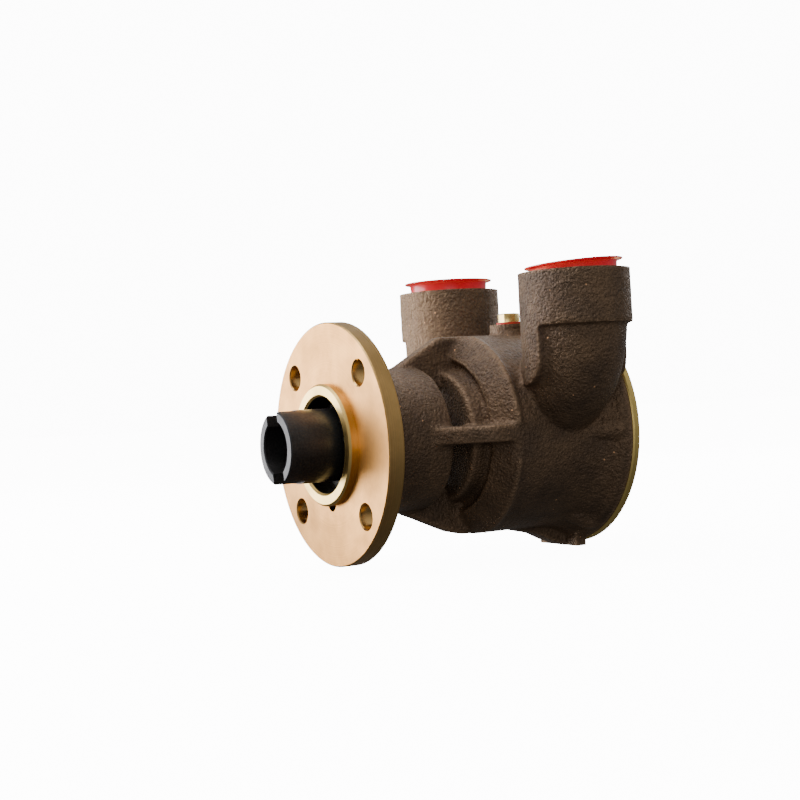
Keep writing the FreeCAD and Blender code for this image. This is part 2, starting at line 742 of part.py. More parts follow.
# ---------------------------------------------------------------- mechanical seal
def seal_parts():
    return [
        turned_body("seal_seat", [
            ("shaft_radius + 1", "seal_start + 0.6"), ("seal_bore - 3", "seal_start + 0.6"),
            ("seal_bore - 3", "seal_face - 1"), ("seal_bore - 4", "seal_face"),
            ("shaft_radius + 1", "seal_face")]),
        turned_body("seal_seat_cup", [
            ("shaft_radius + 2", "seal_start"), ("seal_bore", "seal_start"),
            ("seal_bore", "seal_face - 1.5"), ("seal_bore - 3", "seal_face - 1.5"),
            ("seal_bore - 3", "seal_start + 0.6"), ("shaft_radius + 2", "seal_start + 0.6")]),
        turned_body("seal_head", [
            ("shaft_radius", "seal_face + 0.05"), ("shaft_radius + 3.6", "seal_face + 0.05"),
            ("shaft_radius + 3.6", "seal_face + 1.5"), ("shaft_radius + 5.5", "seal_face + 1.5"),
            ("shaft_radius + 5.5", "seal_face + 6"), ("shaft_radius", "seal_face + 6")]),
        seal_spring(),
    ]


def seal_spring():
    """The coil spring that holds the seal head against its seat."""
    wire = 0.7
    room = number("impeller_start - seal_face - 6.05") - 2 * wire
    coil = doc.addObject("Part::Helix", "seal_spring_line")
    coil.Radius = number("shaft_radius + 2.6")
    coil.Height = room
    coil.Pitch = room / 3
    section = doc.addObject("Part::RegularPolygon", "seal_spring_section")
    section.Polygon = 6
    section.Circumradius = wire
    section.Placement = FreeCAD.Placement(
        FreeCAD.Vector(coil.Radius, 0, 0), FreeCAD.Rotation(FreeCAD.Vector(1, 0, 0), 90))
    sweep = doc.addObject("Part::Sweep", "seal_spring")
    doc.recompute()
    sweep.Sections = [section]
    sweep.Spine = (coil, [])
    sweep.Solid = True
    sweep.Frenet = True
    sweep.Placement = FreeCAD.Placement(
        FreeCAD.Vector(0, number("seal_face + 6") + wire, 0), TURNS["Y"])
    sweep.Label = "seal_spring"
    return sweep


# ---------------------------------------------------------------- impeller and cam
def vane_line(turn, tip_radius):
    """Middle line of one vane: radial at the hub, bent over where it has less room.

    Gives (point, direction across the vane) pairs."""
    root = number("vane_root") - 2
    reach = number("vane_tip - vane_bead") - root
    bend = 1.6 * math.sqrt(max(0.0, 1 - (tip_radius - root) / reach))
    steps = 8
    line = []
    heading, across, up = 0.0, 0.0, 0.0
    for index in range(steps + 1):
        line.append((across, up, heading))
        heading = bend * (index + 1) / steps
        across += reach / steps * math.sin(heading)
        up += reach / steps * math.cos(heading)
    tip = math.hypot(line[-1][0], root + line[-1][1])
    shrink = (tip_radius - root) / (tip - root)
    rotation = FreeCAD.Rotation(FreeCAD.Vector(0, 1, 0), turn)
    return [(rotation.multVec(FreeCAD.Vector(across, 0, root + up * shrink)),
             rotation.multVec(FreeCAD.Vector(math.cos(heading), 0, -math.sin(heading))))
            for across, up, heading in line]


def has_room(tip):
    """Whether a vane's bead clears the chamber wall and the cam there."""
    bead = number("vane_bead") + 0.3
    cam_middle = FreeCAD.Vector(0, 0, number("chamber_radius - cam_depth - cam_radius"))
    return (tip.Length + bead < number("chamber_radius")
            and tip.distanceToPoint(cam_middle) + bead < number("cam_radius"))


def vane(turn):
    """One vane with a bead along its tip, as long as the room at its place allows."""
    tip_radius = number("vane_tip - vane_bead")
    line = vane_line(turn, tip_radius)
    while not has_room(line[-1][0]):
        tip_radius -= 0.2
        line = vane_line(turn, tip_radius)
    half = number("vane_thickness") / 2
    sides = [Part.BSplineCurve(), Part.BSplineCurve()]
    sides[0].interpolate([spot - across * half for spot, across in line])
    sides[1].interpolate([spot + across * half for spot, across in line])
    ends = [Part.makeLine(side[0] - side[1] * half, side[0] + side[1] * half)
            for side in (line[0], line[-1])]
    wire = Part.Wire(Part.__sortEdges__([side.toShape() for side in sides] + ends))
    along = FreeCAD.Vector(0, number("impeller_end - impeller_start"), 0)
    bead = Part.makeCylinder(number("vane_bead"), along.y, line[-1][0], FreeCAD.Vector(0, 1, 0))
    return Part.Face(wire).extrude(along).fuse(bead)


def impeller():
    """Rubber hub with moulded vanes; those under the cam are bent over, as they run."""
    width = number("impeller_end - impeller_start")
    axis = FreeCAD.Vector(0, 1, 0)
    solid = Part.makeCylinder(number("vane_root"), width, FreeCAD.Vector(), axis)
    for index in range(VANES):
        solid = solid.fuse(vane(360 / VANES * index - 5))
    solid = solid.cut(Part.makeCylinder(number("hub_radius"), width, FreeCAD.Vector(), axis))
    solid.translate(FreeCAD.Vector(0, number("impeller_start"), 0))
    piece = doc.addObject("Part::Feature", "impeller")
    piece.Shape = solid.removeSplitter()
    piece.Label = "impeller"
    return piece


def impeller_parts():
    bush = ring("impeller_bush", "shaft_radius", "hub_radius", "impeller_start", "impeller_end")
    keyway = sketch_on(bush, "XY_Plane", "bush_keyway_outline", "shaft_radius - 1")
    outline(keyway, [("-2.5", "impeller_start + 8"), ("2.5", "impeller_start + 8"),
                     ("2.5", "impeller_end - 8"), ("-2.5", "impeller_end - 8")])
    pocket(bush, keyway, "3.5", reverse=True)
    lean(bush)
    key = new_body("impeller_key")
    sketch = sketch_on(key, "XY_Plane", "key_outline", "shaft_radius - 2.5")
    outline(sketch, [("-2.5", "impeller_start + 8"), ("2.5", "impeller_start + 8"),
                     ("2.5", "impeller_end - 8"), ("-2.5", "impeller_end - 8")])
    pad(key, sketch, "5")
    lean(key)
    return [impeller(), bush, key]


def cam():
    """The crescent on the chamber's roof that bends the vanes and so moves the water."""
    blank = cylinder("cam_blank", "Y", "chamber_radius", "casing_end - chamber_start - 1.6",
                     ("0", "chamber_start + 1.3", "0"))
    roof = cylinder("cam_relief", "Y", "cam_radius", "casing_end - chamber_start + 2",
                    ("0", "chamber_start", "chamber_radius - cam_depth - cam_radius"))
    hole = cylinder("cam_hole", "Z", "3", "4.6", ("0", "port_station", "chamber_radius - 4.5"))
    return cut("cam", cut("cam_solid", blank, roof), hole)


def cam_screw():
    """Hexagon-headed screw that holds the cam up from outside."""
    head = doc.addObject("Part::Prism", "cam_screw_head")
    head.Polygon = 6
    bind(head, Circumradius="6.06", Height="5", Placement__Base__y="port_station",
         Placement__Base__z="cam_boss_top + 1.3")
    shank = cylinder("cam_screw_shank", "Z", "3", "cam_boss_top + 1.3 - chamber_radius + 4.5",
                     ("0", "port_station", "chamber_radius - 4.5"))
    screw = fused("cam_screw", [head, shank])
    screw.Label = "cam_screw"
    washer = new_body("cam_screw_washer")
    sketch = sketch_on(washer, "XY_Plane", "cam_washer_outline", "cam_boss_top")
    circle(sketch, "0", "port_station", "7")
    circle(sketch, "0", "port_station", "3")
    pad(washer, sketch, "1.3")
    return [screw, washer]


# ---------------------------------------------------------------- cover end
def cover_parts():
    plate = ring("end_cover", "0", "cover_radius", "casing_end + gasket_depth", "cover_end", "0.7")
    holes = sketch_on(plate, "XZ_Plane", "cover_hole_outline")
    circle(holes, "cover_circle", "0", "cover_screw + 0.3")
    repeat(plate, pocket(plate, holes, "4 * cover_end", symmetric=True), COVER_SCREWS)
    gasket = ring("cover_gasket", "chamber_radius + 0.6", "end_radius - 0.8", "casing_end",
                  "casing_end + gasket_depth")
    punched = sketch_on(gasket, "XZ_Plane", "gasket_hole_outline")
    circle(punched, "cover_circle", "0", "cover_screw + 0.3")
    repeat(gasket, pocket(gasket, punched, "4 * cover_end", symmetric=True), COVER_SCREWS)
    plate_in = ring("wear_plate", "seal_bore - 3", "chamber_radius - 0.1", "chamber_start",
                    "chamber_start + 1.2")
    return [plate, gasket, plate_in, cover_screws()]


def cover_screws():
    """Six slotted round-head screws, as separate solids in one node."""
    screws = []
    for index in range(COVER_SCREWS):
        turn = 360 * index / COVER_SCREWS
        spot = (f"cover_circle * cos({turn} deg)", "cover_end", f"cover_circle * sin({turn} deg)")
        dome = doc.addObject("Part::Sphere", f"screw_dome_{index}")
        dome.Radius = 5.6
        dome.Placement = FreeCAD.Placement(FreeCAD.Vector(), TURNS["Y"])
        bind(dome, Placement__Base__x=spot[0], Placement__Base__y="cover_end - 2.6",
             Placement__Base__z=spot[2])
        blank = cylinder(f"screw_blank_{index}", "Y", "5", "4", spot)
        head = doc.addObject("Part::Common", f"screw_head_{index}")
        head.Base = dome
        head.Tool = blank
        slot = doc.addObject("Part::Box", f"screw_slot_{index}")
        bind(slot, Length="12", Width="3", Height="1.1", Placement__Base__x=f"{spot[0]} - 6",
             Placement__Base__y="cover_end + 1.8", Placement__Base__z=f"{spot[2]} - 0.55")
        shank = cylinder(f"screw_shank_{index}", "Y", "cover_screw",
                         "cover_end - casing_end + screw_depth",
                         (spot[0], "casing_end - screw_depth", spot[2]))
        slotted = cut(f"slotted_head_{index}", head, slot)
        screws.append(fused(f"cover_screw_{index}", [slotted, shank]))
    group = doc.addObject("Part::Compound", "cover_screws")
    group.Links = screws
    group.Label = "cover_screws"
    return group


# ---------------------------------------------------------------- transport caps
def port_caps():
    caps = []
    for name, side, proud, tilt in (("near_port_cap", 1, 4.4, 3.2), ("far_port_cap", -1, 6.3, 0)):
        cap = turned_body(name, [
            ("0", "-12"), ("21.2", "-12"), ("21.8", "-11.4"), ("22.4", "-5"), ("22.7", "-1.6"),
            ("25.7", "-0.7"), ("25.7", "0"), ("22.6", "0"), ("20.6", "-10.7"), ("0", "-10.7")])
        stand = FreeCAD.Rotation(FreeCAD.Vector(1, 0, 0), 90)
        lean_axis = FreeCAD.Vector(math.cos(math.radians(30)), -math.sin(math.radians(30)), 0)
        stand = FreeCAD.Rotation(lean_axis, tilt).multiply(stand)
        cap.Placement = FreeCAD.Placement(FreeCAD.Vector(), stand)
        bind(cap, Placement__Base__x=f"{side} * port_offset", Placement__Base__y="port_station",
             Placement__Base__z=f"port_top + {proud}")
        caps.append(cap)
    return caps


# ---------------------------------------------------------------- check and write
def write_all(pieces):
    doc.recompute()
    for thing in doc.Objects:
        if "Invalid" in thing.State or "Error" in thing.State:
            raise ValueError(f"{thing.Name} did not build: {thing.State}")
    for piece in pieces:
        if piece.Shape.isNull() or not piece.Shape.isValid():
            raise ValueError(f"{piece.Label} has no valid shape")
    for piece in pieces:
        piece.Shape.exportStep(f"parts/{piece.Label}.step")
        box = piece.Shape.BoundBox
        print(f"{piece.Label:28s} {len(piece.Shape.Solids)} solids {piece.Shape.Volume:10.0f} mm3 "
              f"x {box.XMin:.1f} {box.XMax:.1f} y {box.YMin:.1f} {box.YMax:.1f} "
              f"z {box.ZMin:.1f} {box.ZMax:.1f}")


pieces = [pump_body(), mounting_flange(), flange_dowel(), drive_coupling(), coupling_pin(),
          pump_shaft()]
pieces += bearing_parts()
pieces += seal_parts()
pieces += impeller_parts()
pieces += [cam()] + cam_screw()
pieces += cover_parts()
pieces += port_caps()
write_all(pieces)
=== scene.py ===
import math

import bmesh
import bpy
from mathutils import Matrix, Vector


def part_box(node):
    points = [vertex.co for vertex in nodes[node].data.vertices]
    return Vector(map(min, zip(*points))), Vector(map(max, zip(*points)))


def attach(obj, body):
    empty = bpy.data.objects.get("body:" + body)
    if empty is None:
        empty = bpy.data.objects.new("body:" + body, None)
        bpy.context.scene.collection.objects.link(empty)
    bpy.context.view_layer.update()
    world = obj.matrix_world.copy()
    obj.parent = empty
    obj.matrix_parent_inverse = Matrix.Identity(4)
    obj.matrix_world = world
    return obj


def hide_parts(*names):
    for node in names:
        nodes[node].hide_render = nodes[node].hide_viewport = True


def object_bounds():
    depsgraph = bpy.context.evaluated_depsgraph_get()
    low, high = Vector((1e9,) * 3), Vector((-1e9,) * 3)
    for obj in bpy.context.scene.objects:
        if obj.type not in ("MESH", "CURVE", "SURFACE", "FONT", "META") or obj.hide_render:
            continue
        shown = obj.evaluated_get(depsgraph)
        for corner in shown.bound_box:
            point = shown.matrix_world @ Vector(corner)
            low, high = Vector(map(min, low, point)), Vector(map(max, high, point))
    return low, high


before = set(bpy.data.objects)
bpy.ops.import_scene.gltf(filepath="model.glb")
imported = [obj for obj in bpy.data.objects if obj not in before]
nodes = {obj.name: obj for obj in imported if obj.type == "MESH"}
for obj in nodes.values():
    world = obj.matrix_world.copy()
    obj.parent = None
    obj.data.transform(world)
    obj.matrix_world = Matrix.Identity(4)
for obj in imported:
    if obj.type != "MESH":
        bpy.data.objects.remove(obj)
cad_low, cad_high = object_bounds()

# ---------------------------------------------------------------- camera
# The pump is seen from its drive end, a little to the side of the flange and level with it.
# All places are in metres, in the pump's own frame.
VIEW_AZIMUTH = math.radians(60.04)
VIEW_ELEVATION = math.radians(0.057)
VIEW_ROLL = math.radians(-3.17)
camera_data = bpy.data.cameras.new("camera")
camera_data.lens = 64.735
camera_data.sensor_width = 36
camera_data.clip_start = 0.05
camera_data.clip_end = 60
camera = bpy.data.objects.new("camera", camera_data)
bpy.context.collection.objects.link(camera)
back = Vector((math.sin(VIEW_AZIMUTH) * math.cos(VIEW_ELEVATION),
               -math.cos(VIEW_AZIMUTH) * math.cos(VIEW_ELEVATION), math.sin(VIEW_ELEVATION)))
level = Vector((math.cos(VIEW_AZIMUTH), math.sin(VIEW_AZIMUTH), 0))
upright = back.cross(level)
right = math.cos(VIEW_ROLL) * level + math.sin(VIEW_ROLL) * upright
up = math.cos(VIEW_ROLL) * upright - math.sin(VIEW_ROLL) * level
camera.matrix_world = Matrix.Translation((0.665508, -0.339646, 0.021923)) @ Matrix(
    (right, up, back)).transposed().to_4x4()
bpy.context.scene.camera = camera


# ---------------------------------------------------------------- floor and light
# A white seamless floor and a white background for the camera, with a large soft box to the
# left of the flange, one above, a weak one behind and a faint fill on the right. The floor is
# seen but lights nothing.
def connect(tree, kind, **inputs):
    """A node with its settings and inputs; an input that is another node's socket is linked."""
    made = tree.nodes.new("ShaderNode" + kind)
    for name, value in inputs.items():
        label = name.replace("_", " ")
        slot = made.inputs.get(label)
        if slot is None:
            setattr(made, name, value)
        elif isinstance(value, bpy.types.NodeSocket):
            tree.links.new(value, slot)
        else:
            slot.default_value = value
    return made


WHITE_LEVEL = 12.5
floor_mesh = bpy.data.meshes.new("floor")
shape = bmesh.new()
bmesh.ops.create_circle(shape, cap_ends=True, segments=96, radius=6)
bmesh.ops.translate(shape, vec=(0, 0, cad_low.z - 0.0002), verts=shape.verts)
shape.to_mesh(floor_mesh)
shape.free()
floor = bpy.data.objects.new("floor", floor_mesh)
bpy.context.collection.objects.link(floor)
floor.visible_diffuse = False
floor.visible_glossy = False
paper = bpy.data.materials.new("white_paper")
paper.use_nodes = True
paper_shader = paper.node_tree.nodes["Principled BSDF"]
paper_shader.inputs["Base Color"].default_value = (0.8, 0.8, 0.8, 1)
paper_shader.inputs["Roughness"].default_value = 0.9
paper_shader.inputs["Emission Color"].default_value = (1, 1, 1, 1)
paper_shader.inputs["Emission Strength"].default_value = WHITE_LEVEL
floor_mesh.materials.append(paper)

world = bpy.data.worlds.new("studio")
bpy.context.scene.world = world
world.use_nodes = True
sky = world.node_tree
seen = sky.nodes["Background"]
seen.inputs["Color"].default_value = (1, 1, 1, 1)
seen.inputs["Strength"].default_value = WHITE_LEVEL
direction = connect(sky, "TexCoord").outputs["Generated"]
parts = connect(sky, "SeparateXYZ", Vector=direction)
overhead = connect(sky, "MapRange", Value=parts.outputs["Z"], From_Min=-0.55, From_Max=0.8,
                   To_Min=0.10, To_Max=0.60)
lighting = connect(sky, "Background", Color=(1, 0.985, 0.96, 1),
                   Strength=overhead.outputs["Result"])
chooser = connect(sky, "MixShader", Fac=connect(sky, "LightPath").outputs["Is Camera Ray"])
sky.links.new(lighting.outputs["Background"], chooser.inputs[1])
sky.links.new(seen.outputs["Background"], chooser.inputs[2])
sky.links.new(chooser.outputs["Shader"], sky.nodes["World Output"].inputs["Surface"])


def soft_box(name, place, target, width, height, power):
    """A rectangular soft light at a place, turned to its target."""
    light = bpy.data.lights.new(name, "AREA")
    light.shape = "RECTANGLE"
    light.size = width
    light.size_y = height
    light.energy = power
    box = bpy.data.objects.new(name, light)
    box.location = place
    box.rotation_euler = (Vector(target) - Vector(place)).to_track_quat("-Z", "Y").to_euler()
    box.visible_camera = False
    bpy.context.collection.objects.link(box)


soft_box("front_left_light", (-0.82, -0.74, 0.20), (0, 0.02, 0), 1.0, 0.8, 23)
soft_box("top_light", (-0.1, -0.25, 0.95), (0, 0.07, 0), 0.7, 0.7, 8)
soft_box("back_light", (-0.5, 0.9, 0.5), (0, 0.1, 0), 0.7, 0.7, 4)
soft_box("fill_light", (0.95, -0.40, 0.10), (0, 0.08, 0), 0.6, 0.3, 1.3)


# ---------------------------------------------------------------- pump body
# One sand casting in bronze: bearing housing, ribs, casing and the two port elbows. It is
# made as the real one is: a rough casting with soft corners, then turned and bored where
# other pieces meet it, which leaves bright metal there.
GRAIN_CELL = 0.00115
MACHINING_ROOM = 0.0025
SPIGOT_RADIUS, PILOT_BORE, BEARING_BORE = 0.03175, 0.0251, 0.0235
COVER_LIP_RADIUS, LUG_HALF = 0.06375, 0.0175
COLLAR_RADIUS, MOUTH_RADIUS, WATERWAY_RADIUS = 0.02925, 0.0236, 0.0195
PORT_X, PORT_Y = 0.06176, 0.117
CAM_BOSS_TOP = 0.0597
COVER_SCREWS, COVER_SCREW_CIRCLE = 6, 0.05715
body_low, body_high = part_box("pump_body")
nose_front, cover_face, port_top = body_low.y, body_high.y, body_high.z


def turned(profile, place=None, segments=128):
    """A closed solid turned about Y from (radius, station) points; place moves it after."""
    lump = bmesh.new()
    corners = [lump.verts.new((radius, station, 0)) for radius, station in profile]
    sides = [lump.edges.new(pair) for pair in zip(corners, corners[1:])]
    bmesh.ops.spin(lump, geom=corners + sides, axis=(0, 1, 0), cent=(0, 0, 0),
                   angle=2 * math.pi, steps=segments, use_merge=True)
    bmesh.ops.remove_doubles(lump, verts=lump.verts, dist=1e-7)
    bmesh.ops.recalc_face_normals(lump, faces=lump.faces)
    if place:
        bmesh.ops.transform(lump, matrix=place, verts=lump.verts)
    return lump


def upright_at(x, y):
    """Stands a turned solid on end, so that its stations run up Z at this place."""
    return Matrix.Translation((x, y, 0)) @ Matrix.Rotation(math.pi / 2, 4, "X")


def block(low, high):
    """A box between two corners."""
    lump = bmesh.new()
    size = Vector(high) - Vector(low)
    bmesh.ops.create_cube(lump, size=1, matrix=Matrix.Translation(
        (Vector(low) + Vector(high)) / 2) @ Matrix.Diagonal((*size, 1)))
    return lump


def as_object(name, lump, *materials):
    """Puts a bmesh in a new object at the origin."""
    mesh = bpy.data.meshes.new(name)
    lump.to_mesh(mesh)
    lump.free()
    for material in materials:
        mesh.materials.append(material)
    made = bpy.data.objects.new(name, mesh)
    bpy.context.collection.objects.link(made)
    return made


def settled(thing):
    """Works the modifiers into the object's mesh, and then drops them."""
    bpy.context.view_layer.update()
    mesh = bpy.data.meshes.new_from_object(
        thing.evaluated_get(bpy.context.evaluated_depsgraph_get()))
    thing.modifiers.clear()
    thing.data = mesh


def joined(lumps):
    """Several bmeshes in one, each still its own shell."""
    whole = bmesh.new()
    for lump in lumps:
        carrier = bpy.data.meshes.new("carrier")
        lump.to_mesh(carrier)
        lump.free()
        whole.from_mesh(carrier)
        bpy.data.meshes.remove(carrier)
    return whole


def crisp_edges(mesh, angle):
    """Smooth shading that breaks at edges sharper than the angle."""
    for face in mesh.polygons:
        face.use_smooth = True
    mesh.set_sharp_from_angle(angle=angle)


casting_copy = bmesh.new()
casting_copy.from_mesh(nodes["pump_body"].data)
bmesh.ops.remove_doubles(casting_copy, verts=casting_copy.verts, dist=1e-6)
stock = [
    casting_copy,
    # the housing before it is bored, with room on the spigot
    turned([(0, nose_front - 0.0024), (0.0338, nose_front - 0.0024), (0.0338, 0.011),
            (0.026, 0.011), (0.026, 0.0537), (0, 0.0537)]),
    # the pump head before it is bored, with room on the cover's face and its lug
    turned([(0, 0.0674), (0.025, 0.0674), (0.025, 0.0895), (0.050, 0.0895),
            (0.050, cover_face - 0.002), (COVER_LIP_RADIUS, cover_face - 0.002),
            (COVER_LIP_RADIUS, cover_face + MACHINING_ROOM), (0, cover_face + MACHINING_ROOM)]),
    block((-LUG_HALF, cover_face - 0.0068, body_low.z),
          (LUG_HALF, cover_face + MACHINING_ROOM, body_low.z + 0.012)),
    # the boss that the cam screw stands on
    turned([(0, 0.050), (0.011, 0.050), (0.011, CAM_BOSS_TOP + MACHINING_ROOM),
            (0, CAM_BOSS_TOP + MACHINING_ROOM)], upright_at(0, PORT_Y), 64),
]
for side in (1, -1):
    stock.append(turned([
        (0, 0.050), (0.025, 0.050), (0.025, 0.079), (COLLAR_RADIUS, 0.079),
        (COLLAR_RADIUS, port_top + MACHINING_ROOM), (0, port_top + MACHINING_ROOM)],
        upright_at(side * PORT_X, PORT_Y)))
# a raised bead on the rim of the pump head's front wall, in four arcs between the ribs
CREST_REACH, CREST_STATION, CREST_BEAD = 0.0536, 0.0832, 0.0018
for first, last in ((6, 76), (104, 174), (-74, -14), (-166, -106)):
    bead = bmesh.new()
    bmesh.ops.create_circle(bead, cap_ends=True, segments=16, radius=CREST_BEAD,
                            matrix=Matrix.Translation((CREST_REACH, CREST_STATION, 0)))
    bmesh.ops.rotate(bead, verts=bead.verts, cent=(0, 0, 0),
                     matrix=Matrix.Rotation(math.radians(-first), 3, "Y"))
    bmesh.ops.spin(bead, geom=bead.faces[:], axis=(0, 1, 0), cent=(0, 0, 0),
                   angle=-math.radians(last - first), steps=48)
    bmesh.ops.recalc_face_normals(bead, faces=bead.faces)
    stock.append(bead)
casting = as_object("casting", joined(stock))
skin = casting.modifiers.new("one_skin", "REMESH")
skin.mode = "VOXEL"
skin.voxel_size = GRAIN_CELL
soften = casting.modifiers.new("soft_corners", "SMOOTH")
soften.factor = 0.5
soften.iterations = 3
for size, height in ((0.009, 0.00035), (0.0032, 0.00016)):
    lumps = bpy.data.textures.new("sand_lumps", "CLOUDS")
    lumps.noise_scale = size
    lumps.noise_depth = 1
    uneven = casting.modifiers.new("uneven", "DISPLACE")
    uneven.texture = lumps
    uneven.texture_coords = "LOCAL"
    uneven.strength = height
    uneven.mid_level = 0.5
settled(casting)


def cutting(thing, tool):
    """Takes the tool's shape out of a piece; the cut faces get the tool's material."""
    machining = thing.modifiers.new("machining", "BOOLEAN")
    machining.operation = "DIFFERENCE"
    machining.solver = "MANIFOLD"
    machining.material_mode = "TRANSFER"
    machining.object = tool
    settled(thing)
    bpy.data.objects.remove(tool)


def bent_bore(side):
    """The curved waterway from one port to the chamber."""
    lump = bmesh.new()
    top, run = 0.0545, 0.020
    bend_height, bend_radius = 0.0495, 0.030
    bmesh.ops.create_circle(lump, cap_ends=True, segments=64, radius=WATERWAY_RADIUS,
                            matrix=Matrix.Translation((side * PORT_X, PORT_Y, top)))
    end = lump.faces[:]
    # straight down, then a quarter turn, then straight to the chamber
    for move in (Vector((0, 0, bend_height - top)), None, Vector((-side * run, 0, 0))):
        if move is None:
            swept = bmesh.ops.spin(lump, geom=end, axis=(0, 1, 0), angle=side * math.pi / 2,
                                   cent=(side * (PORT_X - bend_radius), PORT_Y, bend_height),
                                   steps=20)
            end = [part for part in swept["geom_last"]
                   if isinstance(part, bmesh.types.BMFace)]
        else:
            grown = bmesh.ops.extrude_face_region(lump, geom=end)["geom"]
            bmesh.ops.translate(lump, vec=move, verts=[
                part for part in grown if isinstance(part, bmesh.types.BMVert)])
            end = [part for part in grown if isinstance(part, bmesh.types.BMFace)]
    inner = [face for face in lump.faces
             if all(len(edge.link_faces) > 2 for edge in face.edges)]
    bmesh.ops.delete(lump, geom=inner, context="FACES_ONLY")
    bmesh.ops.recalc_face_normals(lump, faces=lump.faces)
    return lump


# (radius, station) along the shaft, from the mounting end to the cover's face
cuts = [turned([
    # outside of the spigot, and its broken edge
    (0, -0.012), (0.045, -0.012), (0.045, 0.009), (SPIGOT_RADIUS, 0.009),
    (SPIGOT_RADIUS, nose_front + 0.0011), (0.03065, nose_front),
    # pilot bore
    (0.0262, nose_front), (PILOT_BORE, nose_front + 0.0011), (PILOT_BORE, 0.006),
    # bearings, and the groove of their ring
    (BEARING_BORE, 0.006), (BEARING_BORE, 0.0069), (0.0247, 0.0069), (0.0247, 0.0088),
    (BEARING_BORE, 0.0088), (BEARING_BORE, 0.046),
    # lip seal, drain gap and shaft hole
    (0.0175, 0.046), (0.0175, 0.0542), (0.027, 0.0542), (0.027, 0.0663), (0.0115, 0.0663),
    (0.0115, 0.070),
    # water seal, impeller chamber and cover face
    (0.019, 0.070), (0.019, 0.088), (0.0476, 0.088), (0.0476, cover_face),
    (0.080, cover_face), (0.080, cover_face + 0.01), (0, cover_face + 0.01)])]
# the cam screw's hole and its spot face
cuts.append(turned([(0, 0.030), (0.0032, 0.030), (0.0032, CAM_BOSS_TOP),
                    (0.014, CAM_BOSS_TOP), (0.014, 0.066), (0, 0.066)],
                   upright_at(0, PORT_Y), 48))
# both ports: thread root, plain mouth and top face, and then the waterway
for side in (1, -1):
    cuts.append(turned([(0, 0.054), (0.02225, 0.054), (0.02225, port_top - 0.009),
                        (MOUTH_RADIUS, port_top - 0.009), (MOUTH_RADIUS, port_top - 0.0005),
                        (0.0241, port_top), (0.040, port_top), (0.040, port_top + 0.01),
                        (0, port_top + 0.01)], upright_at(side * PORT_X, PORT_Y)))
    cuts.append(bent_bore(side))
# the cover's screw holes
for index in range(COVER_SCREWS):
    angle = 2 * math.pi * index / COVER_SCREWS
    cuts.append(turned([(0, cover_face - 0.011), (0.003, cover_face - 0.011),
                        (0.003, cover_face + 0.001), (0, cover_face + 0.001)],
                       Matrix.Translation((COVER_SCREW_CIRCLE * math.cos(angle), 0,
                                           COVER_SCREW_CIRCLE * math.sin(angle))), 32))


def combined(tree, operation, first, second):
    """The sum, product or test of two values; the second may be a number."""
    made = connect(tree, "Math", operation=operation)
    tree.links.new(first, made.inputs[0])
    if isinstance(second, bpy.types.NodeSocket):
        tree.links.new(second, made.inputs[1])
    else:
        made.inputs[1].default_value = second
    return made.outputs[0]


def blended(tree, amount, under, over, how="MIX"):
    """Lays one colour over another; any of the three may be a value or a socket."""
    made = connect(tree, "Mix", data_type="RGBA", blend_type=how)
    amount_slot, under_slot, over_slot = (made.inputs[index] for index in (0, 6, 7))
    for slot, value in ((amount_slot, amount), (under_slot, under), (over_slot, over)):
        if isinstance(value, bpy.types.NodeSocket):
            tree.links.new(value, slot)
        else:
            slot.default_value = value
    return made.outputs[2]


def toned(tree, value, first, first_color, last, last_color):
    """Two colours across a value, between two of its levels."""
    ramp = connect(tree, "ValToRGB", Fac=value)
    for stop, level, color in zip(ramp.color_ramp.elements, (first, last),
                                  (first_color, last_color)):
        stop.position = level
        stop.color = (*color, 1)
    return ramp.outputs["Color"]


cast_bronze = bpy.data.materials.new("cast_bronze")
cast_bronze.use_nodes = True
tree = cast_bronze.node_tree
shader = tree.nodes["Principled BSDF"]
place = connect(tree, "TexCoord").outputs["Object"]
patches = connect(tree, "TexNoise", Vector=place, Scale=38.0, Detail=4.0, Roughness=0.6)
specks = connect(tree, "TexNoise", Vector=place, Scale=700.0, Detail=3.0, Roughness=0.65)
tone = toned(tree, patches.outputs["Fac"], 0.35, (0.092, 0.058, 0.036),
             0.68, (0.185, 0.116, 0.066))
across = connect(tree, "SeparateXYZ", Vector=place)
# the far port and its side are painted a lighter tan, partly the metal's own tone and partly
# painted light from the left
far_side_lightening = connect(tree, "MapRange", Value=across.outputs["X"], From_Min=-0.030,
                   From_Max=-0.048, To_Max=0.8)
lightened_far_side = blended(tree, far_side_lightening.outputs["Result"], tone, (0.31, 0.20, 0.115, 1))
speck_tone = toned(tree, specks.outputs["Fac"], 0.36, (0.50, 0.45, 0.42),
                   0.66, (1.25, 1.18, 1.10))
grainy = blended(tree, 0.5, lightened_far_side, speck_tone, "MULTIPLY")
# edges are rubbed to lighter metal
worn = connect(tree, "MapRange", Value=connect(tree, "NewGeometry").outputs["Pointiness"],
               From_Min=0.505, From_Max=0.57, To_Max=0.65)
rubbed = blended(tree, worn.outputs["Result"], grainy, (0.34, 0.215, 0.125, 1))
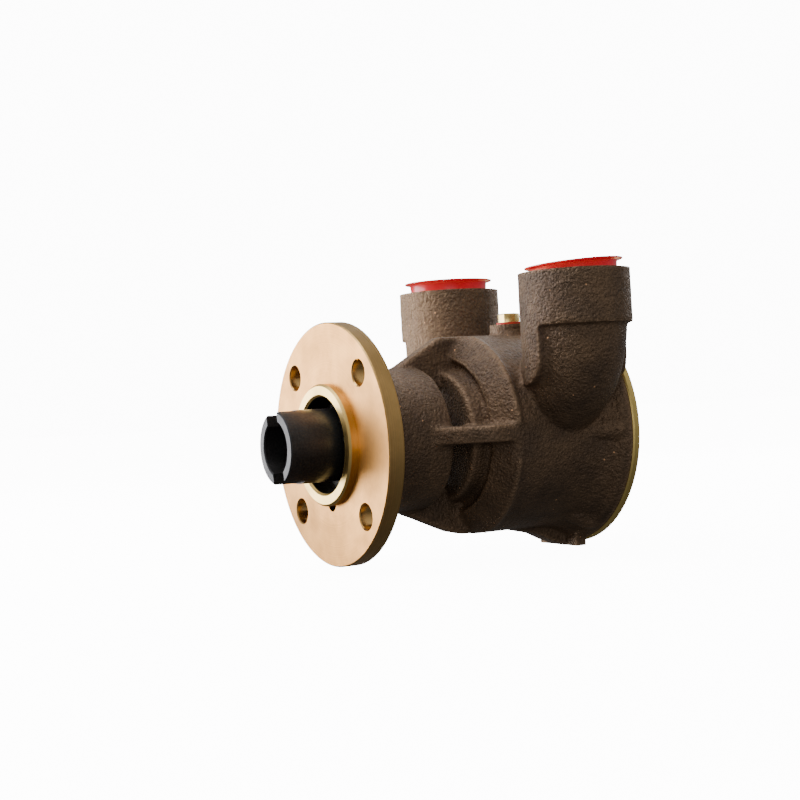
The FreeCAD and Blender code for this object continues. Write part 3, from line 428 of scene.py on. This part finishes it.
# a few bare grains in a lighter copper colour, partly their own colour and partly painted
# glints
glints = connect(tree, "TexVoronoi", Vector=place, Scale=330.0)
glint_pick = connect(tree, "SeparateColor", Color=glints.outputs["Color"])
rare = combined(tree, "GREATER_THAN", glint_pick.outputs[0], 0.965)
small = combined(tree, "LESS_THAN", glints.outputs["Distance"], 0.17)
sparkled = blended(tree, combined(tree, "MULTIPLY", rare, small), rubbed,
                   (0.62, 0.34, 0.17, 1))
tree.links.new(sparkled, shader.inputs["Base Color"])
shader.inputs["Metallic"].default_value = 0.45
dull = connect(tree, "MapRange", Value=specks.outputs["Fac"], To_Min=0.62, To_Max=0.38)
tree.links.new(dull.outputs["Result"], shader.inputs["Roughness"])
pebbles = connect(tree, "TexNoise", Vector=place, Scale=720.0, Detail=2.5, Roughness=0.55)
pebble_bump = connect(tree, "Bump", Height=pebbles.outputs["Fac"], Strength=1.0,
                      Distance=0.0013)
coarse = connect(tree, "TexNoise", Vector=place, Scale=320.0, Detail=2.0, Roughness=0.5)
coarse_bump = connect(tree, "Bump", Height=coarse.outputs["Fac"], Strength=0.6,
                      Distance=0.0010, Normal=pebble_bump.outputs["Normal"])
tree.links.new(coarse_bump.outputs["Normal"], shader.inputs["Normal"])


def turned_metal(name, color, roughness, marks, depth):
    """Metal with fine turning marks round the shaft axis, and a slight stain in patches."""
    material = bpy.data.materials.new(name)
    material.use_nodes = True
    tree = material.node_tree
    shader = tree.nodes["Principled BSDF"]
    place = connect(tree, "TexCoord").outputs["Object"]
    split = connect(tree, "SeparateXYZ", Vector=place)
    flat = connect(tree, "CombineXYZ", X=split.outputs["X"], Z=split.outputs["Z"])
    reach = connect(tree, "VectorMath", operation="LENGTH")
    tree.links.new(flat.outputs["Vector"], reach.inputs[0])
    line = combined(tree, "ADD", reach.outputs["Value"], split.outputs["Y"])
    grooves = connect(tree, "TexNoise", noise_dimensions="1D", W=line, Scale=marks,
                      Detail=3.0, Roughness=0.7)
    stain = connect(tree, "TexNoise", Vector=place, Scale=55.0, Detail=5.0, Roughness=0.62)
    tone = toned(tree, stain.outputs["Fac"], 0.33, [part * 0.80 for part in color],
                 0.62, color)
    line_tone = connect(tree, "MapRange", Value=grooves.outputs["Fac"], From_Min=0.3,
                        From_Max=0.7, To_Min=0.6, To_Max=1.1)
    lined = blended(tree, 0.35, tone, line_tone.outputs["Result"], "MULTIPLY")
    tree.links.new(lined, shader.inputs["Base Color"])
    shader.inputs["Metallic"].default_value = 1.0
    shader.inputs["Anisotropic"].default_value = 0.5
    tree.links.new(connect(tree, "Tangent", direction_type="RADIAL", axis="Y").outputs[0],
                   shader.inputs["Tangent"])
    rough = connect(tree, "MapRange", Value=stain.outputs["Fac"], To_Min=roughness * 1.35,
                    To_Max=roughness * 0.75)
    tree.links.new(rough.outputs["Result"], shader.inputs["Roughness"])
    bump = connect(tree, "Bump", Height=grooves.outputs["Fac"], Strength=0.35, Distance=depth)
    tree.links.new(bump.outputs["Normal"], shader.inputs["Normal"])
    return material


bored_bronze = turned_metal("bored_bronze", (0.88, 0.60, 0.20), 0.30, 3500.0, 0.00004)
# the inside of the pilot and bearing bore is painted nearly black, as painted shade for the
# dark deep in the bore
shaded_bore = turned_metal("shaded_bore", (0.050, 0.038, 0.026), 0.42, 3500.0, 0.00004)

casting.data.materials.clear()
for finish in (cast_bronze, bored_bronze, shaded_bore):
    casting.data.materials.append(finish)
# faces of the bore back from the pilot's edge take the painted-shade finish
BORE_EDGE, BORE_END = nose_front + 0.0006, 0.056
for lump in cuts:
    tool = as_object("tool", lump, bored_bronze, shaded_bore)
    for face in tool.data.polygons:
        reach = math.hypot(face.center.x, face.center.z)
        if reach < 0.0262 and BORE_EDGE < face.center.y < BORE_END:
            face.material_index = 1
    cutting(casting, tool)
crisp_edges(casting.data, math.radians(32))
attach(casting, "casing")
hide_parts("pump_body")


# ---------------------------------------------------------------- mounting flange
# A bronze disc turned all over and pressed on the casting's spigot, with four drilled bolt
# holes whose mouths are broken, and a notch for the pin that stops it from turning.
EDGE_BREAK, HOLE_FLARE, PAST = 0.0006, 0.0016, 0.001
BOLT_CIRCLE, BOLT_HOLE = 0.0508, 0.0065
NOTCH_RADIUS, NOTCH_DROP = 0.0044, 0.0303
flange_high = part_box("mounting_flange")[1]
flange_radius, flange_back = flange_high.x, flange_high.y
turned_bronze = turned_metal("turned_bronze", (0.70, 0.345, 0.100), 0.42, 1700.0, 0.00005)
# the rim is the same turned bronze as the face, painted darker as a painted-shade copy of the
# face's finish
shaded_rim_bronze = turned_metal("shaded_rim_bronze", (0.56, 0.35, 0.13), 0.34, 1700.0, 0.00005)
drilled_bronze = turned_metal("drilled_bronze", (0.90, 0.55, 0.20), 0.17, 5200.0, 0.00004)
flange = as_object("flange_disc", turned([
    (SPIGOT_RADIUS, 0), (flange_radius - EDGE_BREAK, 0), (flange_radius, EDGE_BREAK),
    (flange_radius, flange_back - EDGE_BREAK), (flange_radius - EDGE_BREAK, flange_back),
    (SPIGOT_RADIUS, flange_back), (SPIGOT_RADIUS, 0)], segments=256), turned_bronze,
    shaded_rim_bronze)
# the rim, the edge breaks and the disc's bore take the darker painted-shade copy
for face in flange.data.polygons:
    if abs(face.normal.y) < 0.9:
        face.material_index = 1
bolt_x = BOLT_CIRCLE * math.cos(math.pi / 4)
drills = [(bolt_x, bolt_x), (-bolt_x, bolt_x), (-bolt_x, -bolt_x), (bolt_x, -bolt_x)]
for x, z in drills:
    drill = as_object("drill", turned([
        (0, -PAST), (BOLT_HOLE + HOLE_FLARE, -PAST), (BOLT_HOLE, EDGE_BREAK),
        (BOLT_HOLE, flange_back - EDGE_BREAK), (BOLT_HOLE + HOLE_FLARE, flange_back + PAST),
        (0, flange_back + PAST)], Matrix.Translation((x, 0, z)), 72), drilled_bronze)
    cutting(flange, drill)
cutting(flange, as_object("notch", turned([
    (0, -PAST), (NOTCH_RADIUS, -PAST), (NOTCH_RADIUS, flange_back + PAST),
    (0, flange_back + PAST)], Matrix.Translation((0, 0, -NOTCH_DROP)), 48), drilled_bronze))
crisp_edges(flange.data, math.radians(30))
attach(flange, "casing")
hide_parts("mounting_flange")


# ---------------------------------------------------------------- drive sleeve
# A steel sleeve, pinned on the shaft, oil blacked and then ground bright on its end. The
# tongue of the engine's shaft drives it by the slot across that end.
SLEEVE_RADIUS, SLEEVE_BORE, SHAFT_RADIUS, BORE_FLOOR = 0.019, 0.0136, 0.0100, -0.0055
SLEEVE_EDGE = 0.0006
SLOT_HALF, SLOT_END, SLOT_CORNER = 0.00625, -0.0187, 0.0012
PIN_RADIUS, PIN_STATION, CLEAR = 0.0025, 0.001, 0.03
sleeve_low, sleeve_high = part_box("drive_coupling")


def grained(name, color, darker, roughness, scale, depth, metallic=0.0, **sockets):
    """A fine grain over slow changes of tone; any other shader input can be given by name."""
    material = bpy.data.materials.new(name)
    material.use_nodes = True
    tree = material.node_tree
    shader = tree.nodes["Principled BSDF"]
    place = connect(tree, "TexCoord").outputs["Object"]
    grain = connect(tree, "TexNoise", Vector=place, Scale=scale, Detail=4.0, Roughness=0.6)
    cloud = connect(tree, "TexNoise", Vector=place, Scale=scale / 14, Detail=3.0)
    both = combined(tree, "ADD", grain.outputs["Fac"], cloud.outputs["Fac"])
    tone = connect(tree, "MapRange", Value=both, From_Min=0.65, From_Max=1.25)
    mixed = blended(tree, tone.outputs["Result"], (*darker, 1), (*color, 1))
    tree.links.new(mixed, shader.inputs["Base Color"])
    shine = connect(tree, "MapRange", Value=cloud.outputs["Fac"], To_Min=roughness * 1.25,
                    To_Max=roughness * 0.8)
    tree.links.new(shine.outputs["Result"], shader.inputs["Roughness"])
    shader.inputs["Metallic"].default_value = metallic
    for label, value in sockets.items():
        shader.inputs[label.replace("_", " ")].default_value = value
    bump = connect(tree, "Bump", Height=grain.outputs["Fac"], Strength=0.5, Distance=depth)
    tree.links.new(bump.outputs["Normal"], shader.inputs["Normal"])
    return material


blacked = grained("blacked_steel", (0.060, 0.056, 0.055), (0.022, 0.020, 0.020), 0.36, 900.0,
                  0.00004, metallic=0.75)
ground = turned_metal("ground_end", (0.060, 0.060, 0.064), 0.40, 2600.0, 0.00003)
sleeve = as_object("drive_sleeve", turned([
    (SHAFT_RADIUS, BORE_FLOOR), (SLEEVE_BORE, BORE_FLOOR),
    (SLEEVE_BORE, sleeve_low.y + SLEEVE_EDGE), (SLEEVE_BORE + SLEEVE_EDGE, sleeve_low.y),
    (SLEEVE_RADIUS - SLEEVE_EDGE, sleeve_low.y), (SLEEVE_RADIUS, sleeve_low.y + SLEEVE_EDGE),
    (SLEEVE_RADIUS, sleeve_high.y), (SHAFT_RADIUS, sleeve_high.y),
    (SHAFT_RADIUS, BORE_FLOOR)]), blacked, ground)
for face in sleeve.data.polygons:
    if face.center.y < sleeve_low.y + SLEEVE_EDGE:
        face.material_index = 1
slot_lean = Matrix.Rotation(math.radians(-8), 4, "Y")
way = block((-SLOT_HALF, sleeve_low.y - 0.001, -CLEAR), (SLOT_HALF, SLOT_END, CLEAR))
bmesh.ops.bevel(way, geom=[edge for edge in way.edges if all(
    vert.co.y > SLOT_END - 0.0001 for vert in edge.verts)], offset=SLOT_CORNER, segments=3,
    affect="EDGES", profile=0.5, material=-1)
bmesh.ops.transform(way, matrix=slot_lean, verts=way.verts)
cutting(sleeve, as_object("slot_tool", way, blacked))
pin_hole = turned([(0, -CLEAR), (PIN_RADIUS, -CLEAR), (PIN_RADIUS, CLEAR), (0, CLEAR)],
                  slot_lean @ Matrix.Translation((0, PIN_STATION, 0)) @ Matrix.Rotation(
                      math.pi / 2, 4, "Z"), 32)
cutting(sleeve, as_object("pin_tool", pin_hole, blacked))
crisp_edges(sleeve.data, math.radians(30))
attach(sleeve, "rotor")
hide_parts("drive_coupling")


# ---------------------------------------------------------------- shaft and bearings
# A ground stainless shaft in two ball bearings, with a spacer between them, sprung rings
# that hold them, and a rubber lip seal and flinger behind them.
def dress(material, *names):
    """Gives CAD nodes this material."""
    for name in names:
        piece = nodes[name]
        if piece.material_slots:
            for holder in piece.material_slots:
                holder.link = "OBJECT"
                holder.material = material
        else:
            piece.data.materials.append(material)


ground_steel = turned_metal("ground_steel", (0.52, 0.52, 0.53), 0.28, 2600.0, 0.00003)
race_steel = turned_metal("race_steel", (0.60, 0.60, 0.61), 0.16, 4200.0, 0.00001)
ball_steel = grained("ball_steel", (0.66, 0.66, 0.67), (0.52, 0.52, 0.53), 0.10, 420.0,
                     0.000004, metallic=1.0)
spring_steel = grained("spring_steel", (0.20, 0.19, 0.18), (0.08, 0.075, 0.07), 0.34, 900.0,
                       0.00002, metallic=0.9)
pressed_brass = grained("pressed_brass", (0.78, 0.55, 0.22), (0.52, 0.34, 0.12), 0.34, 500.0,
                        0.00003, metallic=1.0)
rubber = grained("moulded_rubber", (0.030, 0.029, 0.028), (0.012, 0.012, 0.012), 0.52, 1300.0,
                 0.00006)
dress(ground_steel, "pump_shaft", "bearing_spacer", "impeller_key", "coupling_pin",
      "flange_dowel")
dress(race_steel, "front_bearing_outer_ring", "front_bearing_inner_ring",
      "rear_bearing_outer_ring", "rear_bearing_inner_ring")
dress(ball_steel, "front_bearing_balls", "rear_bearing_balls")
dress(spring_steel, "bearing_retaining_ring", "shaft_retaining_ring", "seal_spring")
dress(pressed_brass, "front_bearing_cage", "rear_bearing_cage")
dress(rubber, "bearing_lip_seal", "water_slinger", "seal_seat_cup", "impeller")


# ---------------------------------------------------------------- water seal
# A fired ceramic seat pressed into the casing in a rubber cup. A pressed carbon head turns
# with the shaft, and a spring holds it against the seat.
dress(grained("fired_ceramic", (0.80, 0.78, 0.73), (0.66, 0.63, 0.58), 0.25, 300.0, 0.00002),
      "seal_seat")
dress(grained("pressed_carbon", (0.045, 0.045, 0.048), (0.018, 0.018, 0.02), 0.42, 1600.0,
              0.00003), "seal_head")


# ---------------------------------------------------------------- brass inside the chamber
# Turned brass pieces. The impeller is moulded on its bush, the cam is held up by the screw
# on top, and the wear plate lies on the chamber's floor.
turned_brass = turned_metal("turned_brass", (0.83, 0.60, 0.23), 0.30, 2400.0, 0.00004)
dress(turned_brass, "impeller_bush", "wear_plate", "cam")


# ---------------------------------------------------------------- cam screw
# A hexagon brass screw from the boss between the ports down into the cam, which it holds.
# It is sealed on a red fibre washer.
HEX_RADIUS, SHANK_RADIUS, HEAD_BASE = 0.00606, 0.003, 0.061
screw_low, screw_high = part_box("cam_screw")
head = bmesh.new()
bmesh.ops.create_cone(head, cap_ends=True, segments=6, radius1=HEX_RADIUS,
                      radius2=HEX_RADIUS, depth=screw_high.z - HEAD_BASE,
                      matrix=Matrix.Translation((0, PORT_Y, (screw_high.z + HEAD_BASE) / 2))
                      @ Matrix.Rotation(math.radians(30), 4, "Z"))
# the top is turned down to a soft chamfer, and the six upright edges are broken
bmesh.ops.bevel(head, geom=[edge for edge in head.edges if all(
    vert.co.z > screw_high.z - 0.0001 for vert in edge.verts)], offset=0.0007, segments=2,
    affect="EDGES", profile=0.5, material=-1)
bmesh.ops.bevel(head, geom=[edge for edge in head.edges if abs(
    edge.verts[0].co.z - edge.verts[1].co.z) > 0.003], offset=0.0002, segments=2,
    affect="EDGES", profile=0.5, material=-1)
shank = turned([(0, screw_low.z), (SHANK_RADIUS, screw_low.z),
                (SHANK_RADIUS, HEAD_BASE + 0.001), (0, HEAD_BASE + 0.001)],
               upright_at(0, PORT_Y), 32)
bright_brass = grained("bright_brass", (0.88, 0.66, 0.26), (0.62, 0.43, 0.15), 0.24, 260.0,
                       0.00003, metallic=1.0)
cam_screw = as_object("cam_hex_screw", joined([head, shank]), bright_brass)
crisp_edges(cam_screw.data, math.radians(25))
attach(cam_screw, "casing")
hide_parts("cam_screw")
dress(grained("red_fibre", (0.55, 0.035, 0.02), (0.30, 0.015, 0.01), 0.6, 1500.0, 0.00005),
      "cam_screw_washer")


# ---------------------------------------------------------------- end cover
# A turned brass plate that closes the chamber on a paper gasket. Six slotted brass screws
# hold it.
plate_brass = turned_metal("plate_brass", (0.86, 0.64, 0.22), 0.36, 900.0, 0.00004)
dress(plate_brass, "end_cover")
dress(bright_brass, "cover_screws")
dress(grained("gasket_paper", (0.34, 0.27, 0.17), (0.20, 0.15, 0.09), 0.8, 900.0, 0.00004),
      "cover_gasket")


# ---------------------------------------------------------------- port threads
# Parallel pipe threads of eleven turns to the inch, cut in both ports below the plugs. Each
# is one ridge wound up the wall, sunk a little into it.
THREAD_PITCH, THREAD_TURNS, THREAD_STEPS = 0.002309, 7, 48
THREAD_LOW, THREAD_ROOT, THREAD_CREST = 0.0555, 0.02235, 0.02105
THREAD_HALF = THREAD_PITCH * 0.46
for side, name in ((1, "near_port_threads"), (-1, "far_port_threads")):
    thread = bmesh.new()
    corners = [thread.verts.new((side * PORT_X + reach, PORT_Y, THREAD_LOW + rise))
               for reach, rise in ((THREAD_ROOT, -THREAD_HALF),
                                   (THREAD_CREST, -THREAD_HALF * 0.12),
                                   (THREAD_CREST, THREAD_HALF * 0.12),
                                   (THREAD_ROOT, THREAD_HALF))]
    section = thread.faces.new(corners)
    bmesh.ops.spin(thread, geom=[section], axis=(0, 0, 1), cent=(side * PORT_X, PORT_Y, 0),
                   dvec=(0, 0, THREAD_PITCH / THREAD_STEPS), angle=2 * math.pi * THREAD_TURNS,
                   steps=THREAD_STEPS * THREAD_TURNS)
    bmesh.ops.recalc_face_normals(thread, faces=thread.faces)
    ridge = as_object(name, thread, bored_bronze)
    crisp_edges(ridge.data, math.radians(25))
    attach(ridge, "casing")


# ---------------------------------------------------------------- port plugs
# Soft red plastic plugs that keep dirt out in transport: thin moulded cups with a flared
# lip, pushed into the mouths by hand, so they sit unevenly.
# the plugs are given a faint red glow, painted light that keeps their red deep and bright
glowing_plug_red = grained("glowing_plug_red", (0.72, 0.002, 0.020), (0.60, 0.002, 0.014), 0.30, 90.0,
                   0.00003, Coat_Weight=0.25, Subsurface_Weight=0.15,
                   Subsurface_Radius=(0.004, 0.0008, 0.0006),
                   Emission_Color=(0.9, 0.0, 0.03, 1), Emission_Strength=0.14)
CUP_DEPTH, LIP_RADIUS = 0.012, 0.0257
lean_axis = Vector((math.cos(math.radians(30)), -math.sin(math.radians(30)), 0))
for name, side, lift, tilt in (("near_port_cap", 1, 0.0044, 3.2),
                               ("far_port_cap", -1, 0.0063, 0)):
    stand = Matrix.Translation((side * PORT_X, PORT_Y, port_top + lift)) @ Matrix.Rotation(
        math.radians(tilt), 4, lean_axis) @ Matrix.Rotation(math.pi / 2, 4, "X")
    # up the outside from the floor to the lip, and back down the inside
    plug = as_object(name.replace("cap", "plug"), turned([
        (0, -CUP_DEPTH), (0.0206, -CUP_DEPTH), (0.0212, -CUP_DEPTH + 0.0002),
        (0.0216, -CUP_DEPTH + 0.0008), (0.0224, -0.0050), (0.0226, -0.0022),
        (0.0231, -0.0013), (0.0253, -0.0009), (0.02562, -0.0007), (LIP_RADIUS, -0.0004),
        (0.02562, -0.0001), (0.0253, 0), (0.0231, -0.00025), (0.0223, -0.0009),
        (0.0218, -0.0022), (0.0207, -0.0104), (0.0201, -0.0108), (0, -0.0109)], stand, 160),
        glowing_plug_red)
    crisp_edges(plug.data, math.radians(50))
    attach(plug, "near_cap" if side > 0 else "far_cap")
    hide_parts(name)
